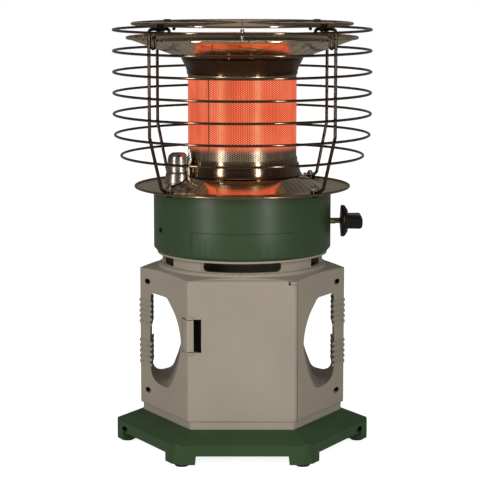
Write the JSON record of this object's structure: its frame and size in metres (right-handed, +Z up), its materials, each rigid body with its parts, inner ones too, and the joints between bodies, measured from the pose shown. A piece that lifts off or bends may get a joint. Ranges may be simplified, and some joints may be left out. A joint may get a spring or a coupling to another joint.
{
  "type": "portable propane heater",
  "caption": "Portable gas heater: caged radiant burner between two reflectors on a drum, over a hexagonal cabinet with a hinged door, hand holds and a footed base.",
  "frame": {"origin": "on the floor under the burner axis, at the centre of the six feet", "axes": "+Z up along the burner axis, door faces -Y, knob points along +X"},
  "size_m": [0.316, 0.316, 0.5197],
  "materials": {
    "painted_green": "smooth baked enamel",
    "moulded_green": "fine moulded texture",
    "moulded_tan": "fine moulded texture",
    "moulded_black": "fine moulded texture",
    "rubber_black": "matte",
    "stainless": "bright, lightly heat stained",
    "stainless_dark": "heat darkened",
    "guard_wire": "darkened wire",
    "zinc_plate": "zinc plated",
    "screw_black": "blackened",
    "brass": "turned",
    "glowing_mesh": "red hot perforated sheet",
    "glowing_core": "red hot"
  },
  "bodies": {
    "heater": {"rubber_feet": "rubber_black", "base_front": "moulded_green", "base_rear": "moulded_green", "base_screws": "screw_black", "cylinder_tray": "zinc_plate", "cabinet_front_shell": "moulded_tan", "cabinet_rear_shell": "moulded_tan", "cabinet_screws": "screw_black", "door_hinge_pins": "zinc_plate", "drum": "painted_green", "drum_access_panel": "painted_green", "drum_floor": "zinc_plate", "drum_screws": "screw_black", "heat_shield": "zinc_plate", "lower_reflector": "stainless", "burner_collar": "stainless", "collar_screws": "stainless", "burner_pan": "stainless_dark", "mixer_tube": "stainless_dark", "jet_holder": "brass", "burner_jet": "brass", "emitter_screen": "glowing_core", "burner_screen": "glowing_mesh", "upper_collar": "stainless_dark", "upper_reflector": "stainless_dark", "centre_stud": "stainless", "stud_nut": "stainless", "guard_ring_1": "guard_wire", "guard_ring_2": "guard_wire", "guard_ring_3": "guard_wire", "guard_ring_4": "guard_wire", "guard_ring_5": "guard_wire", "guard_ring_6": "guard_wire", "guard_ring_7": "guard_wire", "upright_front_right": "guard_wire", "upright_rear_right": "guard_wire", "upright_rear_left": "guard_wire", "upright_front_left": "guard_wire", "guard_screws": "stainless", "guard_nuts": "stainless", "reflector_hooks": "guard_wire", "top_grille": "guard_wire", "grille_clips": "guard_wire", "pilot_hood": "stainless", "pilot_burner": "brass", "pilot_tube": "zinc_plate", "thermocouple": "stainless", "gas_valve_body": "brass", "valve_bracket": "zinc_plate", "regulator_body": "zinc_plate", "regulator_inlet": "brass", "inlet_pipe": "brass", "burner_pipe": "brass", "tip_switch": "moulded_black"},
    "door_panel": {"door": "moulded_tan"},
    "latch": {"door_latch": "moulded_tan"},
    "knob_carrier": {"thrust_ring": "stainless"},
    "knob_and_stem": {"valve_stem": "brass", "knob": "moulded_black"}
  },
  "joints": [
    {"name": "door_hinge", "type": "hinge", "parent": "heater", "child": "door_panel", "pos_m": [0.0604, -0.10472, 0.13], "axis": [0, 0, 1], "range_deg": [0, 110]},
    {"name": "latch_slide", "type": "slide", "parent": "door_panel", "child": "latch", "axis": [1, 0, 0], "range_m": [0, 0.007], "stiffness_N_per_m": 300},
    {"name": "knob_push", "type": "slide", "parent": "heater", "child": "knob_carrier", "axis": [-1, 0, 0], "range_m": [0, 0.004], "stiffness_N_per_m": 1500},
    {"name": "knob_turn", "type": "hinge", "parent": "knob_carrier", "child": "knob_and_stem", "pos_m": [0.12, 0, 0.276], "axis": [1, 0, 0], "range_deg": [0, 180]}
  ]
}
